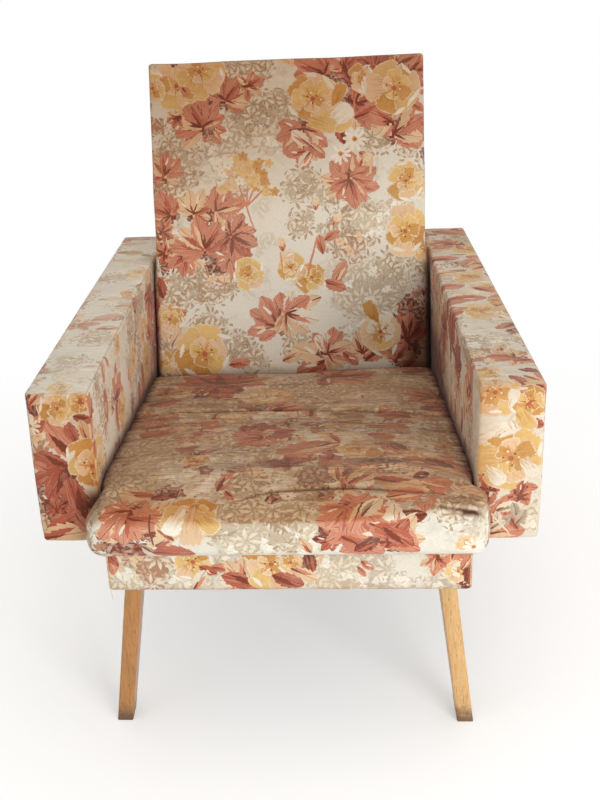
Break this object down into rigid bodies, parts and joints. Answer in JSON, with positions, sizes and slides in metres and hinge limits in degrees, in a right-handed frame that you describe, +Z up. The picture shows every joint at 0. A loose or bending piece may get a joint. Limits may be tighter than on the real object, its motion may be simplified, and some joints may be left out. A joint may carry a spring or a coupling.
{
  "type": "sagging old armchair",
  "caption": "Low box armchair with square padded arms, a leaning back, a slumped sprung seat in faded floral cotton, and splayed wooden legs.",
  "frame": {"origin": "centre of the outer box's footprint, on the surface that the feet stand on", "axes": "+X to the right as seen from the front, +Y from the front of the chair to its back, +Z up"},
  "size_m": [0.7, 0.825, 0.9088],
  "materials": {
    "floral_cotton": "faded printed cotton, floral, soiled and creased",
    "varnished_beech": "old clear varnish, scratched, dark and scuffed at the feet",
    "raw_pine": "sawn, unfinished",
    "chipboard": "raw board",
    "hardboard": "raw board",
    "yellowed_foam": "aged open-cell foam",
    "grey_wadding": "felted cotton wadding",
    "jute_hessian": "coarse plain weave",
    "dust_cloth": "thin black lining cloth, dusty",
    "dull_steel": "dull, lightly rusted"
  },
  "bodies": {
    "root": {"arm_cover_left": "floral_cotton", "arm_cover_right": "floral_cotton", "arm_front_batten_left": "raw_pine", "arm_front_batten_right": "raw_pine", "arm_inner_board_left": "chipboard", "arm_inner_board_right": "chipboard", "arm_outer_board_left": "chipboard", "arm_outer_board_right": "chipboard", "arm_rear_batten_left": "raw_pine", "arm_rear_batten_right": "raw_pine", "arm_screw_front_left": "dull_steel", "arm_screw_front_right": "dull_steel", "arm_screw_rear_left": "dull_steel", "arm_screw_rear_right": "dull_steel", "arm_top_batten_left": "raw_pine", "arm_top_batten_right": "raw_pine", "arm_wadding_left": "grey_wadding", "arm_wadding_right": "grey_wadding", "back_board": "hardboard", "back_cover": "floral_cotton", "back_foam": "yellowed_foam", "back_lower_rail": "raw_pine", "back_screw_left": "dull_steel", "back_screw_right": "dull_steel", "back_stile_left": "raw_pine", "back_stile_right": "raw_pine", "back_top_rail": "raw_pine", "base_band": "floral_cotton", "dust_cloth": "dust_cloth", "front_rail": "raw_pine", "leg_front_left": "varnished_beech", "leg_front_right": "varnished_beech", "leg_rear_left": "varnished_beech", "leg_rear_right": "varnished_beech", "leg_screw_front_left_1": "dull_steel", "leg_screw_front_left_2": "dull_steel", "leg_screw_front_right_1": "dull_steel", "leg_screw_front_right_2": "dull_steel", "leg_screw_rear_left_1": "dull_steel", "leg_screw_rear_left_2": "dull_steel", "leg_screw_rear_right_1": "dull_steel", "leg_screw_rear_right_2": "dull_steel", "rear_rail": "raw_pine", "seat_cover": "floral_cotton", "seat_hessian": "jute_hessian", "seat_pad": "yellowed_foam", "seat_spring_1": "dull_steel", "seat_spring_2": "dull_steel", "seat_spring_3": "dull_steel", "seat_spring_4": "dull_steel", "side_rail_left": "raw_pine", "side_rail_right": "raw_pine", "spring_clip_front_1": "dull_steel", "spring_clip_front_2": "dull_steel", "spring_clip_front_3": "dull_steel", "spring_clip_front_4": "dull_steel", "spring_clip_rear_1": "dull_steel", "spring_clip_rear_2": "dull_steel", "spring_clip_rear_3": "dull_steel", "spring_clip_rear_4": "dull_steel"}
  },
  "joints": []
}
